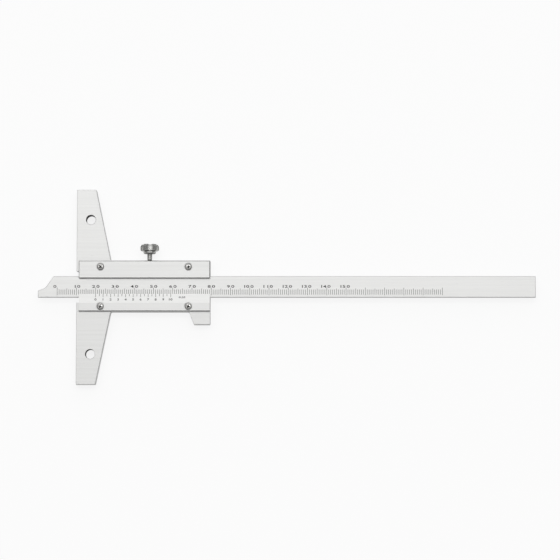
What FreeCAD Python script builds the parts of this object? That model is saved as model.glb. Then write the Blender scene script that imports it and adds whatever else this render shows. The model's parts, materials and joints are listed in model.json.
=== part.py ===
import FreeCAD, Part

import os
import re

import Sketcher

# Vernier depth gauge, 0 to 150 mm, reading to 0.05 mm, in millimetres.
# The gauge lies on its back. The beam runs along X, the base across it along Y, and +Z is the scale side.
# x = 0 is the measuring face of the base, y = 0 the centreline of the beam, z = 0 the back of the gauge.

SIZES = {
    # Base and slider, made in one piece
    "base_length": 101.5,
    "frame_thickness": 6.5,
    "wing_tip_width": 10.0,
    "wing_root_width": 17.8,
    "slider_length": 69.5,
    "slider_upper_reach": 13.7,
    "slider_lower_reach": 13.0,
    "thumb_rest_tip": 8.5,
    "thumb_rest_slant": 2.6,
    "thumb_rest_drop": 6.6,
    "face_relief_width": 16.4,
    "face_relief_depth": 1.3,
    "extension_hole_diameter": 5.0,
    "extension_hole_spacing": 70.0,
    "extension_hole_setback": 7.3,
    "inner_corner_radius": 1.0,
    "outer_corner_radius": 0.4,
    "edge_break": 0.2,
    "hole_edge_break": 0.15,
    # Beam
    "beam_length": 258.5,
    "beam_width": 11.0,
    "beam_thickness": 3.0,
    "beam_edge_break": 0.25,
    "nose_width": 3.5,
    "nose_slope_length": 3.9,
    "nose_slope_rise": 1.5,
    "nose_shoulder_length": 4.15,
    "nose_corner_radius": 3.0,
    "depth_reading": 20.0,
    # Channel in the slider
    "beam_gap": 0.05,
    "undercut_width": 0.5,
    "undercut_depth": 0.3,
    # Cover plate and vernier plate
    "plate_thickness": 1.5,
    "plate_rear_inset": 0.2,
    "plate_side_inset": 0.3,
    "plate_edge_break": 0.25,
    "cover_overlap": 1.05,
    "vernier_overlap": 1.8,
    "vernier_bevel_width": 4.8,
    "vernier_edge_thickness": 0.3,
    # Plate screws, M2
    "screw_setback": 11.2,
    "cover_screw_inset": 3.4,
    "vernier_screw_inset": 2.7,
    "screw_diameter": 2.0,
    "screw_length": 5.0,
    "screw_head_diameter": 3.6,
    "screw_head_height": 1.3,
    "screw_head_round": 0.7,
    "screw_recess_length": 2.1,
    "screw_recess_width": 0.45,
    "screw_recess_depth": 0.8,
    "screw_hole_gap": 0.1,
    "counterbore_gap": 0.3,
    "counterbore_depth": 0.5,
    "tapped_hole_spare": 0.5,
    "thread_gap": 0.02,
    # Gib spring and its two set screws, M2.5
    "spring_thickness": 0.4,
    "spring_bow": 0.3,
    "spring_side_gap": 0.3,
    "spring_end_gap": 1.0,
    "spring_beam_gap": 0.03,
    "spring_wall_gap": 0.37,
    "seat_gap": 0.02,
    "gib_screw_offset": 5.9,
    "gib_screw_diameter": 2.5,
    "gib_screw_recess": 0.8,
    "gib_screw_point": 0.45,
    "gib_slot_width": 0.4,
    "gib_slot_depth": 0.9,
    # Clamp screw, M2.5, and its pressure pad
    "clamp_offset": 2.6,
    "clamp_thread_diameter": 2.5,
    "clamp_thread_gap": 0.05,
    "clamp_pad_gap": 0.1,
    "clamp_pad_length": 1.6,
    "clamp_pad_edge_break": 0.2,
    "clamp_stem_reach": 3.3,
    "knob_boss_diameter": 6.6,
    "knob_boss_height": 1.3,
    "knob_diameter": 9.8,
    "knob_height": 3.9,
    "knob_top_bevel": 0.8,
    "knob_top_bevel_drop": 1.0,
    "knob_foot_bevel": 0.5,
    "knob_rim_width": 1.5,
    "knob_dish_depth": 0.8,
    "knob_lobes": 5,
    "scallop_radius": 3.0,
    "scallop_depth": 1.3,
}

# Places worked out from the sizes, each as a formula
PLACES = {
    "base_half": "base_length / 2",
    "thumb_rest_foot": "thumb_rest_tip + thumb_rest_slant",
    "thumb_rest_reach": "slider_lower_reach + thumb_rest_drop",
    "beam_half": "beam_width / 2",
    "channel_floor": "frame_thickness - beam_thickness - 2 * beam_gap",
    "beam_back": "channel_floor + beam_gap",
    "beam_middle": "beam_back + beam_thickness / 2",
    "channel_upper_wall": "spring_top + spring_bow + spring_wall_gap",
    "channel_lower_wall": "beam_half + beam_gap",
    "plate_start": "face_relief_depth",
    "plate_length": "slider_length - plate_rear_inset - plate_start",
    "plate_front": "frame_thickness + plate_thickness",
    "cover_inner_edge": "beam_half - cover_overlap",
    "cover_outer_edge": "slider_upper_reach - plate_side_inset",
    "vernier_inner_edge": "beam_half - vernier_overlap",
    "vernier_outer_edge": "slider_lower_reach - plate_side_inset",
    "front_screw_place": "plate_start + screw_setback",
    "rear_screw_place": "plate_start + plate_length - screw_setback",
    "cover_screw_row": "slider_upper_reach - cover_screw_inset",
    "vernier_screw_row": "slider_lower_reach - vernier_screw_inset",
    "screw_seat": "plate_front - counterbore_depth",
    "counterbore_diameter": "screw_head_diameter + 2 * counterbore_gap",
    "tapped_hole_depth": "screw_length - (screw_seat - frame_thickness) + tapped_hole_spare",
    "plate_middle": "plate_start + plate_length / 2",
    "clamp_place": "plate_middle + clamp_offset",
    "front_gib_place": "front_screw_place + gib_screw_offset",
    "rear_gib_place": "rear_screw_place - gib_screw_offset",
    "spring_length": "plate_length - 2 * spring_end_gap",
    "spring_height": "beam_thickness - 2 * spring_side_gap",
    "spring_under": "beam_half + spring_beam_gap",
    "spring_radius": "((spring_length / 2) ^ 2 + spring_bow ^ 2) / (2 * spring_bow)",
    "spring_top": "spring_under + spring_thickness",
    "gib_screw_rise": "spring_bow * ((rear_gib_place - front_gib_place) / spring_length) ^ 2",
    "gib_screw_tip": "spring_top + gib_screw_rise + seat_gap",
    "gib_screw_length": "slider_upper_reach - gib_screw_recess - gib_screw_tip",
    "clamp_pad_diameter": "clamp_thread_diameter - 2 * clamp_pad_gap",
    "clamp_pad_tip": "spring_top + seat_gap",
    "clamp_screw_tip": "clamp_pad_tip + clamp_pad_length + seat_gap",
    "clamp_stem_length": "slider_upper_reach + clamp_stem_reach - clamp_screw_tip",
    "knob_half": "knob_diameter / 2",
    "knob_foot": "clamp_stem_length + knob_boss_height",
    "knob_top": "knob_foot + knob_height",
    "scallop_centre": "knob_half - scallop_depth + scallop_radius",
}

# How far past a face a cutting sketch reaches, so that the cut leaves no skin
OVERSHOOT = 2.0
# Turn of the knob at rest about its own axis, in degrees
KNOB_REST_TURN = -13.0
# Two corners closer than this are one corner, in millimetres
SAME_PLACE = 1e-4


def bound(formula):
    """Give a formula in plain names the sheet that each name is kept in."""
    def with_sheet(match):
        name = match.group(0)
        if name in SIZES:
            return "Sizes." + name
        if name in PLACES:
            return "Places." + name
        raise KeyError("no size is called " + name)
    return re.sub(r"[a-z][a-z_]+", with_sheet, str(formula))


def fill_sheet(doc, title, rows):
    """Add a sheet with one row for each name: the name, and its value under an alias."""
    sheet = doc.addObject("Spreadsheet::Sheet", title)
    for row, (name, content) in enumerate(rows.items(), start=1):
        sheet.set("A%d" % row, name)
        sheet.set("B%d" % row, content)
        sheet.setAlias("B%d" % row, name)
    return sheet


def make_sheets(doc):
    """The driving sizes as plain numbers, and beside them the places as formulas."""
    fill_sheet(doc, "Sizes", {name: str(number) for name, number in SIZES.items()})
    fill_sheet(doc, "Places", {name: "=" + bound(formula) for name, formula in PLACES.items()})
    doc.recompute()


def value(formula):
    """The present value of a formula."""
    return float(FreeCAD.ActiveDocument.Sizes.evalExpression(bound(formula)))


def new_body(doc, label):
    body = doc.addObject("PartDesign::Body", label)
    body.Label = label
    return body


def place_body(body, x="0", y="0", z="0", rotation=FreeCAD.Rotation()):
    """Put a body that is modelled about its own axis in its place on the gauge."""
    body.Placement = FreeCAD.Placement(FreeCAD.Vector(value(x), value(y), value(z)), rotation)
    for axis, formula in (("x", x), ("y", y), ("z", z)):
        body.setExpression("Placement.Base." + axis, bound(formula))


def origin_part(body, role):
    """One of the body's own origin planes or axes."""
    return next(item for item in body.Origin.OriginFeatures if item.Role == role)


def new_sketch(body, plane, name, lift="0"):
    """A sketch on an origin plane, or lifted along that plane's normal."""
    sketch = body.newObject("Sketcher::SketchObject", name)
    sketch.AttachmentSupport = [(origin_part(body, plane), "")]
    sketch.MapMode = "FlatFace"
    sketch.AttachmentOffset.Base.z = value(lift)
    sketch.setExpression(".AttachmentOffset.Base.z", bound(lift))
    return sketch


def fix_point(sketch, item, end, across, up):
    """Hold a sketch point at two formulas, measured from the sketch's origin."""
    for kind, formula in (("DistanceX", across), ("DistanceY", up)):
        number = sketch.addConstraint(Sketcher.Constraint(kind, -1, 1, item, end, value(formula)))
        sketch.setExpression("Constraints[%d]" % number, bound(formula))


def add_outline(sketch, corners):
    """Draw a closed outline of straight lines through corners given as formula pairs."""
    points = [FreeCAD.Vector(value(across), value(up), 0) for across, up in corners]
    lines = []
    for start, end in zip(points, points[1:] + points[:1]):
        lines.append(sketch.addGeometry(Part.LineSegment(start, end), False))
    for line, following in zip(lines, lines[1:] + lines[:1]):
        sketch.addConstraint(Sketcher.Constraint("Coincident", line, 2, following, 1))
    for line, (across, up) in zip(lines, corners):
        fix_point(sketch, line, 1, across, up)


def add_rectangle(sketch, left, low, right, high):
    add_outline(sketch, [(left, low), (right, low), (right, high), (left, high)])


def add_circle(sketch, across, up, diameter):
    centre = FreeCAD.Vector(value(across), value(up), 0)
    circle = sketch.addGeometry(Part.Circle(centre, FreeCAD.Vector(0, 0, 1), value(diameter) / 2), False)
    fix_point(sketch, circle, 3, across, up)
    number = sketch.addConstraint(Sketcher.Constraint("Diameter", circle, value(diameter)))
    sketch.setExpression("Constraints[%d]" % number, bound(diameter))


def pad(body, sketch, length):
    feature = body.newObject("PartDesign::Pad", sketch.Name + "Pad")
    feature.Profile = sketch
    feature.setExpression("Length", bound(length))
    FreeCAD.ActiveDocument.recompute()
    return feature


def pocket(body, sketch, depth=None, upward=False):
    """Cut against the sketch's normal, or along it. With no depth the cut runs right through, both ways."""
    before = body.Shape.Volume
    feature = body.newObject("PartDesign::Pocket", sketch.Name + "Pocket")
    feature.Profile = sketch
    if depth is None:
        feature.Type = "ThroughAll"
        feature.SideType = "Symmetric"
    else:
        feature.setExpression("Length", bound(depth))
        feature.Reversed = upward
    FreeCAD.ActiveDocument.recompute()
    if body.Shape.Volume >= before:
        raise RuntimeError(feature.Name + " of " + body.Label + " cuts nothing")
    return feature


def revolve(body, sketch):
    """Turn a profile once round the sketch's upright axis."""
    feature = body.newObject("PartDesign::Revolution", sketch.Name + "Turned")
    feature.Profile = sketch
    feature.ReferenceAxis = (sketch, ["V_Axis"])
    feature.Angle = 360
    FreeCAD.ActiveDocument.recompute()
    return feature


def repeat_round(body, feature, angle, occurrences):
    """Repeat a cut about the body's Z axis."""
    pattern = body.newObject("PartDesign::PolarPattern", feature.Name + "Round")
    pattern.Originals = [feature]
    pattern.Axis = (origin_part(body, "Z_Axis"), [""])
    pattern.Angle = angle
    pattern.setExpression("Occurrences", bound(occurrences))
    body.Tip = pattern
    FreeCAD.ActiveDocument.recompute()
    return pattern


def dress_edges(body, kind, wanted, size):
    """Fillet or chamfer those edges of the body so far that the given test picks out."""
    base = body.Tip
    names = ["Edge%d" % number for number, edge in enumerate(base.Shape.Edges, start=1) if wanted(edge)]
    if not names:
        raise RuntimeError("no edge to dress on " + body.Label)
    feature = body.newObject("PartDesign::" + kind, base.Name + kind)
    feature.Base = (base, names)
    feature.setExpression("Radius" if kind == "Fillet" else "Size", bound(size))
    FreeCAD.ActiveDocument.recompute()
    return feature


def near(first, second):
    return abs(first - second) < SAME_PLACE


def upright_at(corners):
    """A test for the edges along Z that stand at any of the given corners."""
    spots = [(value(across), value(up)) for across, up in corners]

    def wanted(edge):
        ends = [vertex.Point for vertex in edge.Vertexes]
        return any(all(near(end.x, x) and near(end.y, y) for end in ends) for x, y in spots)
    return wanted


def in_level(*levels):
    """A test for the edges that lie wholly in one of the given levels of Z."""
    heights = [value(level) for level in levels]

    def wanted(edge):
        return any(all(near(vertex.Z, height) for vertex in edge.Vertexes) for height in heights)
    return wanted


def circle_of(diameter, *levels):
    """A test for the full circles of a diameter in the given levels of Z."""
    lies_there = in_level(*levels)
    radius = value(diameter) / 2

    def wanted(edge):
        return lies_there(edge) and hasattr(edge.Curve, "Radius") and near(edge.Curve.Radius, radius)
    return wanted


def make_base_frame(doc):
    """The base and the slider: a T with a thumb rest, an open channel for the beam and tapped holes."""
    body = new_body(doc, "base_frame")
    wing_corners = [("wing_tip_width", "-base_half"), ("wing_tip_width", "base_half"),
                    ("slider_length", "-thumb_rest_reach"), ("slider_length", "slider_upper_reach"),
                    ("slider_length - thumb_rest_tip", "-thumb_rest_reach")]
    roots = [("wing_root_width", "-slider_lower_reach"), ("wing_root_width", "slider_upper_reach"),
             ("slider_length - thumb_rest_foot", "-slider_lower_reach")]
    outline = new_sketch(body, "XY_Plane", "FrameOutline")
    add_outline(outline, [("0", "-base_half"), wing_corners[0], roots[0], roots[2], wing_corners[4],
                          wing_corners[2], wing_corners[3], roots[1], wing_corners[1], ("0", "base_half")])
    pad(body, outline, "frame_thickness")
    dress_edges(body, "Fillet", upright_at(roots), "inner_corner_radius")
    dress_edges(body, "Fillet", upright_at(wing_corners), "outer_corner_radius")
    dress_edges(body, "Chamfer", in_level("0", "frame_thickness"), "edge_break")

    relief = new_sketch(body, "XY_Plane", "FaceRelief")
    add_rectangle(relief, -OVERSHOOT, "-face_relief_width / 2", "face_relief_depth", "face_relief_width / 2")
    pocket(body, relief)

    make_channel(body)
    make_frame_holes(body)
    return body


def make_channel(body):
    """The beam's channel, open to the scale side, with an undercut along each corner of its floor."""
    channel = new_sketch(body, "YZ_Plane", "Channel")
    over = "frame_thickness + %g" % OVERSHOOT
    undercut = "channel_floor - undercut_depth"
    add_outline(channel, [("-channel_lower_wall", over), ("-channel_lower_wall", undercut),
                          ("undercut_width - channel_lower_wall", undercut),
                          ("undercut_width - channel_lower_wall", "channel_floor"),
                          ("channel_upper_wall - undercut_width", "channel_floor"),
                          ("channel_upper_wall - undercut_width", undercut),
                          ("channel_upper_wall", undercut), ("channel_upper_wall", over)])
    pocket(body, channel)


def make_frame_holes(body):
    """Two holes for an extension base, four tapped for the plates, three from the top edge to the channel."""
    extension = new_sketch(body, "XY_Plane", "ExtensionHoles", "frame_thickness")
    for side in ("", "-"):
        add_circle(extension, "extension_hole_setback", side + "extension_hole_spacing / 2",
                   "extension_hole_diameter")
    pocket(body, extension)
    dress_edges(body, "Chamfer", circle_of("extension_hole_diameter", "0", "frame_thickness"),
                "hole_edge_break")

    tapped = new_sketch(body, "XY_Plane", "TappedHoles", "frame_thickness")
    for place in ("front_screw_place", "rear_screw_place"):
        for row in ("cover_screw_row", "-vernier_screw_row"):
            add_circle(tapped, place, row, "screw_diameter + 2 * thread_gap")
    pocket(body, tapped, "tapped_hole_depth")

    edge_holes = new_sketch(body, "XZ_Plane", "EdgeHoles")
    add_circle(edge_holes, "clamp_place", "beam_middle", "clamp_thread_diameter + 2 * clamp_thread_gap")
    for place in ("front_gib_place", "rear_gib_place"):
        add_circle(edge_holes, place, "beam_middle", "gib_screw_diameter + 2 * thread_gap")
    pocket(body, edge_holes, "slider_upper_reach + %g" % OVERSHOOT)


def make_beam(doc):
    """The graduated beam, cut away at one end to a narrow measuring nose."""
    body = new_body(doc, "beam")
    hollow = ("nose_slope_length", "nose_width + nose_slope_rise - beam_half")
    outline = new_sketch(body, "XY_Plane", "BeamOutline", "beam_back")
    add_outline(outline, [("0", "-beam_half"), ("beam_length", "-beam_half"), ("beam_length", "beam_half"),
                          ("nose_slope_length + nose_shoulder_length", "beam_half"), hollow,
                          ("0", "nose_width - beam_half")])
    pad(body, outline, "beam_thickness")
    dress_edges(body, "Fillet", upright_at([hollow]), "nose_corner_radius")
    dress_edges(body, "Chamfer", in_level("beam_back", "beam_back + beam_thickness"), "beam_edge_break")
    place_body(body, x="-depth_reading")
    return body


def make_screw_holes(body, row):
    """Through holes and counterbores for the two screws of a plate."""
    through = new_sketch(body, "XY_Plane", "ScrewHoles", "plate_front")
    bores = new_sketch(body, "XY_Plane", "Counterbores", "plate_front")
    for place in ("front_screw_place", "rear_screw_place"):
        add_circle(through, place, row, "screw_diameter + 2 * screw_hole_gap")
        add_circle(bores, place, row, "counterbore_diameter")
    pocket(body, through)
    pocket(body, bores, "counterbore_depth")


def make_cover_plate(doc):
    """The flat plate that holds the beam's upper edge in the channel."""
    body = new_body(doc, "cover_plate")
    outline = new_sketch(body, "XY_Plane", "CoverOutline", "frame_thickness")
    add_rectangle(outline, "plate_start", "cover_inner_edge", "plate_start + plate_length",
                  "cover_outer_edge")
    pad(body, outline, "plate_thickness")
    dress_edges(body, "Chamfer", in_level("plate_front"), "plate_edge_break")
    make_screw_holes(body, "cover_screw_row")
    return body


def make_vernier_plate(doc):
    """The vernier plate, bevelled so that its graduated edge comes down to the beam."""
    body = new_body(doc, "vernier_plate")
    section = new_sketch(body, "YZ_Plane", "VernierSection", "plate_start")
    break_out = "plate_front - plate_edge_break"
    add_outline(section, [("-vernier_outer_edge", "frame_thickness"), ("-vernier_inner_edge", "frame_thickness"),
                          ("-vernier_inner_edge", "frame_thickness + vernier_edge_thickness"),
                          ("-vernier_inner_edge - vernier_bevel_width", "plate_front"),
                          ("plate_edge_break - vernier_outer_edge", "plate_front"),
                          ("-vernier_outer_edge", break_out)])
    pad(body, section, "plate_length")
    make_screw_holes(body, "-vernier_screw_row")
    return body


def make_plate_screw(doc, label, place, row):
    """A pan-head screw with a cross recess, modelled upright with its head's seat at its own origin."""
    body = new_body(doc, label)
    half_section = new_sketch(body, "XZ_Plane", "ScrewSection")
    add_outline(half_section, [("0", "-screw_length"), ("screw_diameter / 2", "-screw_length"),
                               ("screw_diameter / 2", "0"), ("screw_head_diameter / 2", "0"),
                               ("screw_head_diameter / 2", "screw_head_height"), ("0", "screw_head_height")])
    revolve(body, half_section)
    dress_edges(body, "Fillet", circle_of("screw_head_diameter", "screw_head_height"), "screw_head_round")
    slot = new_sketch(body, "XY_Plane", "RecessSlot", "screw_head_height")
    add_rectangle(slot, "-screw_recess_length / 2", "-screw_recess_width / 2",
                  "screw_recess_length / 2", "screw_recess_width / 2")
    cut = pocket(body, slot, "screw_recess_depth")
    repeat_round(body, cut, 90, "2")
    place_body(body, place, row, "screw_seat")
    return body


def make_gib_spring(doc):
    """The bowed leaf spring between the beam's upper edge and the wall of the channel."""
    body = new_body(doc, "gib_spring")
    strip = new_sketch(body, "XY_Plane", "SpringStrip", "beam_middle - spring_height / 2")
    ends = ("plate_middle - spring_length / 2", "plate_middle + spring_length / 2")
    edges = []
    for level in ("spring_under", "spring_top"):
        left, crown, right = [FreeCAD.Vector(value(across), value(up), 0) for across, up in
                              ((ends[0], level + " + spring_bow"), ("plate_middle", level),
                               (ends[1], level + " + spring_bow"))]
        edge = sketch_arc(strip, left, crown, right)
        fix_point(strip, edge, 1, ends[0], level + " + spring_bow")
        fix_point(strip, edge, 2, ends[1], level + " + spring_bow")
        number = strip.addConstraint(Sketcher.Constraint("Radius", edge, value("spring_radius")))
        strip.setExpression("Constraints[%d]" % number, bound("spring_radius"))
        edges.append(edge)
    for end, across in ((1, ends[0]), (2, ends[1])):
        low = FreeCAD.Vector(value(across), value("spring_under + spring_bow"), 0)
        high = FreeCAD.Vector(value(across), value("spring_top + spring_bow"), 0)
        side = strip.addGeometry(Part.LineSegment(low, high), False)
        strip.addConstraint(Sketcher.Constraint("Coincident", side, 1, edges[0], end))
        strip.addConstraint(Sketcher.Constraint("Coincident", side, 2, edges[1], end))
    pad(body, strip, "spring_height")
    return body


def sketch_arc(sketch, start, middle, end):
    """Add the arc through three points, and give its number in the sketch."""
    return sketch.addGeometry(Part.Arc(start, middle, end), False)


def make_gib_screw(doc, label, place):
    """A slotted set screw that bears on the gib spring, modelled upright with its point at its own origin."""
    body = new_body(doc, label)
    half_section = new_sketch(body, "XZ_Plane", "SetScrewSection")
    add_outline(half_section, [("0", "0"), ("gib_screw_diameter / 2 - gib_screw_point", "0"),
                               ("gib_screw_diameter / 2", "gib_screw_point"),
                               ("gib_screw_diameter / 2", "gib_screw_length"), ("0", "gib_screw_length")])
    revolve(body, half_section)
    slot = new_sketch(body, "XY_Plane", "DriverSlot", "gib_screw_length")
    add_rectangle(slot, "-gib_screw_diameter", "-gib_slot_width / 2",
                  "gib_screw_diameter", "gib_slot_width / 2")
    pocket(body, slot, "gib_slot_depth")
    place_body(body, place, "gib_screw_tip", "beam_middle", head_outward())
    return body


def head_outward(turn=0.0):
    """The rotation that lays an upright screw along Y with its head at the upper edge."""
    lay_down = FreeCAD.Rotation(FreeCAD.Vector(1, 0, 0), -90)
    return lay_down * FreeCAD.Rotation(FreeCAD.Vector(0, 0, 1), turn)


def make_clamp_pad(doc):
    """The small brass pad between the clamp screw and the gib spring."""
    body = new_body(doc, "clamp_pad")
    disc = new_sketch(body, "XY_Plane", "PadDisc")
    add_circle(disc, "0", "0", "clamp_pad_diameter")
    pad(body, disc, "clamp_pad_length")
    dress_edges(body, "Chamfer", in_level("0", "clamp_pad_length"), "clamp_pad_edge_break")
    place_body(body, "clamp_place", "clamp_pad_tip", "beam_middle", head_outward())
    return body


def make_clamp_screw(doc):
    """The clamp screw: stem, boss and a dished head with finger scallops, modelled upright from its tip."""
    body = new_body(doc, "clamp_screw")
    rim = "knob_half - knob_top_bevel"
    half_section = new_sketch(body, "XZ_Plane", "ClampSection")
    add_outline(half_section, [("0", "0"), ("clamp_thread_diameter / 2", "0"),
                               ("clamp_thread_diameter / 2", "clamp_stem_length"),
                               ("knob_boss_diameter / 2", "clamp_stem_length"),
                               ("knob_boss_diameter / 2", "knob_foot"),
                               ("knob_half - knob_foot_bevel", "knob_foot"),
                               ("knob_half", "knob_foot + knob_foot_bevel"),
                               ("knob_half", "knob_top - knob_top_bevel_drop"), (rim, "knob_top"),
                               (rim + " - knob_rim_width", "knob_top - knob_dish_depth"),
                               ("0", "knob_top - knob_dish_depth")])
    revolve(body, half_section)
    scallop = new_sketch(body, "XY_Plane", "Scallop", "knob_foot")
    add_circle(scallop, "scallop_centre", "0", "2 * scallop_radius")
    cut = pocket(body, scallop, "knob_height + %g" % OVERSHOOT, upward=True)
    repeat_round(body, cut, 360, "knob_lobes")
    place_body(body, "clamp_place", "clamp_screw_tip", "beam_middle", head_outward(KNOB_REST_TURN))
    return body


def make_gauge(doc):
    """Every sub-part of the gauge."""
    parts = [make_base_frame(doc), make_beam(doc), make_cover_plate(doc), make_vernier_plate(doc)]
    for side, row in (("cover", "cover_screw_row"), ("vernier", "-vernier_screw_row")):
        for end in ("front", "rear"):
            parts.append(make_plate_screw(doc, side + "_screw_" + end, end + "_screw_place", row))
    parts.append(make_gib_spring(doc))
    parts.append(make_gib_screw(doc, "gib_screw_front", "front_gib_place"))
    parts.append(make_gib_screw(doc, "gib_screw_rear", "rear_gib_place"))
    parts.append(make_clamp_pad(doc))
    parts.append(make_clamp_screw(doc))
    return parts


def check_document(doc, parts):
    """Stop if any object failed, or any sub-part has no valid solid."""
    for item in doc.Objects:
        if "Invalid" in item.State or "Error" in item.State:
            raise RuntimeError(item.Name + " failed: " + ", ".join(item.State))
    for part in parts:
        if part.Shape.isNull() or not part.Shape.isValid() or len(part.Shape.Solids) != 1:
            raise RuntimeError(part.Label + " is not one valid solid")


def write_parts(parts):
    """Write one file for each sub-part, named after it."""
    os.makedirs("parts", exist_ok=True)
    for part in parts:
        part.Shape.exportStep("parts/" + part.Label + ".step")
        print("%-20s %9.2f cubic millimetres" % (part.Label, part.Shape.Volume))


document = FreeCAD.newDocument("DepthGauge")
make_sheets(document)
gauge_parts = make_gauge(document)
document.recompute()
check_document(document, gauge_parts)
write_parts(gauge_parts)
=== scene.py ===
"""Vernier depth gauge: its steel finishes, engraved scales, plate screws and clamp screw.

Lengths are in metres, in the frame of the solids: x = 0 is the measuring face, +X runs along the beam,
y = 0 is the beam's centreline, z = 0 the back of the gauge and +Z its scale side.
"""

from __future__ import annotations

import json
import logging
import math
from collections.abc import Callable, Iterator, Sequence
from contextlib import contextmanager
from dataclasses import dataclass, replace
from enum import Enum

import bmesh
import bpy
from mathutils import Matrix, Vector

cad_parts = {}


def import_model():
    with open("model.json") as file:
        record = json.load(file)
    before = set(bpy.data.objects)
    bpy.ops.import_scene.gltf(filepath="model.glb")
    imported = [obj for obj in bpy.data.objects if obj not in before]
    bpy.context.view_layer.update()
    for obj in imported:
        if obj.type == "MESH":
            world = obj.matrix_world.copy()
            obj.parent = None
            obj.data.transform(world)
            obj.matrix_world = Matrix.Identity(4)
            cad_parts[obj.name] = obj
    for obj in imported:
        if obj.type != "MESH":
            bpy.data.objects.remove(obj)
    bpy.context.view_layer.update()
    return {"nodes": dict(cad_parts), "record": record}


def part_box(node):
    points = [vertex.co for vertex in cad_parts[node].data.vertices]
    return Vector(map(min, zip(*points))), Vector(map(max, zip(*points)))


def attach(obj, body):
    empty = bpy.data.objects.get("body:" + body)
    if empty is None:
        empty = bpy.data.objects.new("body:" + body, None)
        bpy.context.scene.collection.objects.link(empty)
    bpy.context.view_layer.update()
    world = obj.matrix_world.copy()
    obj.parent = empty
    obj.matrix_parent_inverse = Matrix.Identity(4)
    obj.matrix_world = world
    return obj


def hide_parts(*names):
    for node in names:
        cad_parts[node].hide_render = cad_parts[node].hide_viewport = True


MM = 0.001
# The mesh attribute that carries painted shade, from 0 to 1, into the turned metal.
SHADE_ATTRIBUTE = "recess"

log = logging.getLogger("depth_gauge")


class Element(Enum):
    """The kind of mesh element that a selection is made of."""

    EDGE = "EDGE"
    FACE = "FACE"


class Join(Enum):
    """How one closed mesh is combined with another."""

    CUT = "DIFFERENCE"
    KEEP_COMMON = "INTERSECT"
    UNITE = "UNION"


def deselect_all() -> None:
    """Leave no object selected."""
    bpy.ops.object.select_all(action="DESELECT")


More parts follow.
